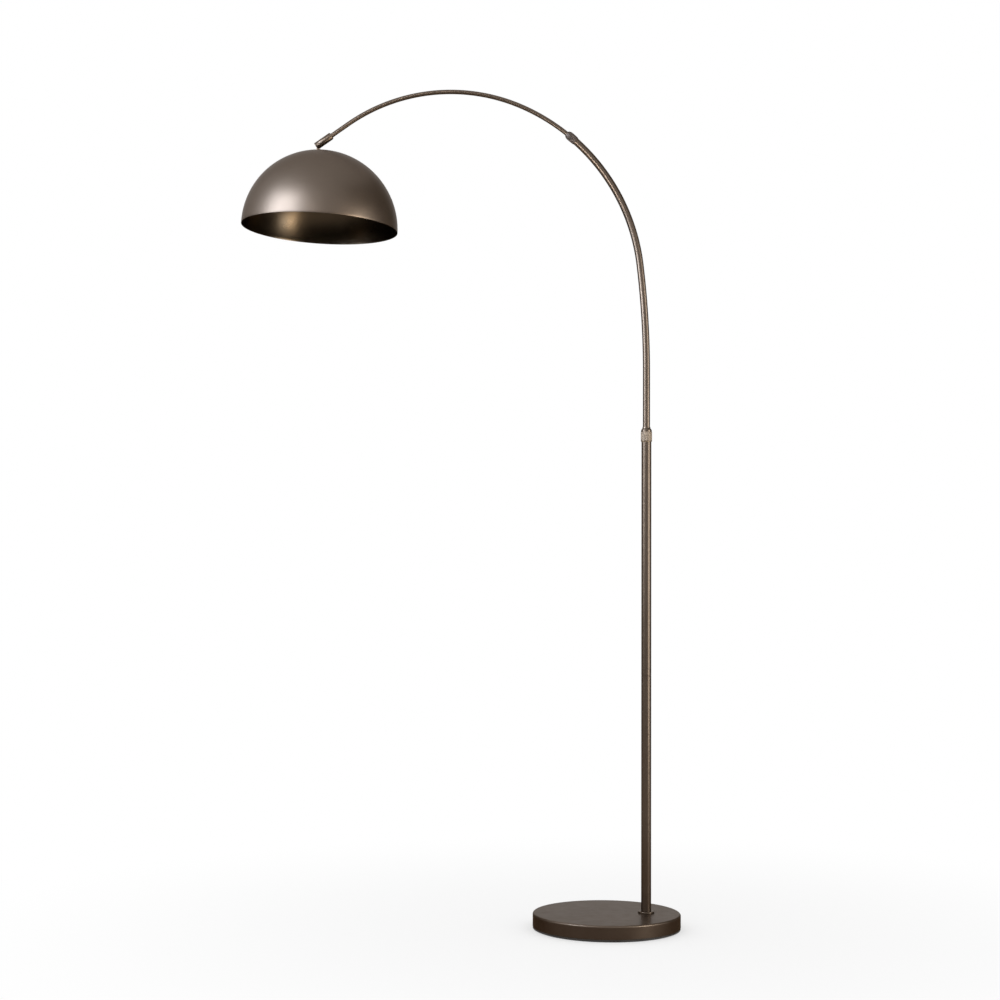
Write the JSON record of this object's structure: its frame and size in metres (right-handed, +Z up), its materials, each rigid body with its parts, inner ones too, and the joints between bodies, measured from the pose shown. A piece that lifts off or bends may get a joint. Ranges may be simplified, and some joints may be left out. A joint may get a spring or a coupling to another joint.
{
  "type": "arched floor lamp",
  "caption": "Arched floor lamp: weighted round base, straight pole, telescoping curved arm with twist locks, and a metal dome shade on a tilting knuckle.",
  "frame": {"origin": "middle of the round base's underside, on the floor", "axes": "+Z up; +X from the middle of the base towards the pole; the arm reaches over towards -X in the XZ plane"},
  "size_m": [0.9845, 0.35, 1.8681],
  "materials": {
    "bronze_tube": "satin",
    "bronze_base": "satin",
    "bronze_shade": "satin",
    "matte_nut": "matte",
    "bronze_fitting": "satin",
    "inner_brass": "satin",
    "zinc_steel": "satin",
    "cast_iron": "matte",
    "felt": "matte",
    "black_plastic": "matte",
    "nylon": "matte",
    "bulb_glass": "satin",
    "bulb_metal": "satin"
  },
  "bodies": {
    "base": {"base_pad": "felt", "base_weight": "cast_iron", "base_cover": "bronze_base", "cord_inlet": "black_plastic", "foot_stud": "zinc_steel", "foot_washer": "zinc_steel", "foot_nut": "zinc_steel", "foot_ring": "bronze_base", "pole_lower": "bronze_tube", "pole_coupler": "zinc_steel", "pole_upper": "bronze_tube", "pole_lock_ring": "inner_brass"},
    "pole_nut": {"pole_lock_nut": "matte_nut", "pole_nut_cap": "bronze_fitting"},
    "collet": {"pole_collet": "nylon"},
    "outer_arm": {"bow_outer": "bronze_tube", "leg_guide": "nylon", "arm_lock_ring": "bronze_fitting", "arm_collet": "nylon"},
    "arm_nut": {"arm_lock_nut": "matte_nut"},
    "inner_arm": {"bow_inner": "bronze_tube", "arm_guide": "nylon", "knuckle_fork": "bronze_fitting", "pivot_screw": "bronze_fitting", "pivot_nut": "bronze_fitting", "shim_front": "nylon", "shim_rear": "nylon"},
    "shade": {"knuckle_tongue": "bronze_fitting", "shade_dome": "bronze_shade", "top_cap": "bronze_fitting", "inner_washer": "zinc_steel", "shade_stem": "zinc_steel", "stem_nut": "zinc_steel", "holder_cap": "black_plastic", "holder_body": "black_plastic", "holder_contact": "inner_brass", "bulb_cap": "bulb_metal", "bulb_globe": "bulb_glass"}
  },
  "joints": [
    {"name": "pole_lock_turn", "type": "hinge", "parent": "base", "child": "pole_nut", "pos_m": [0.087, 0, 1.073], "axis": [0, 0, 1], "range_deg": [0, 180]},
    {"name": "arm_swivel", "type": "hinge", "parent": "base", "child": "collet", "pos_m": [0.087, 0, 1.073], "axis": [0, 0, 1], "range_deg": [-170, 170]},
    {"name": "height_slide", "type": "slide", "parent": "collet", "child": "outer_arm", "axis": [0, 0, 1], "range_m": [-0.12, 0.1]},
    {"name": "arm_lock_turn", "type": "hinge", "parent": "outer_arm", "child": "arm_nut", "pos_m": [-0.07954, 0, 1.75795], "axis": [-0.7559, 0, 0.6547], "range_deg": [0, 180]},
    {"name": "arm_extend", "type": "hinge", "parent": "outer_arm", "child": "inner_arm", "pos_m": [-0.37385, 0, 1.41819], "axis": [0, -1, 0], "range_deg": [-16, 10]},
    {"name": "shade_tilt", "type": "hinge", "parent": "inner_arm", "child": "shade", "pos_m": [-0.65216, 0, 1.7405], "axis": [0, 1, 0], "range_deg": [-40, 60]}
  ]
}
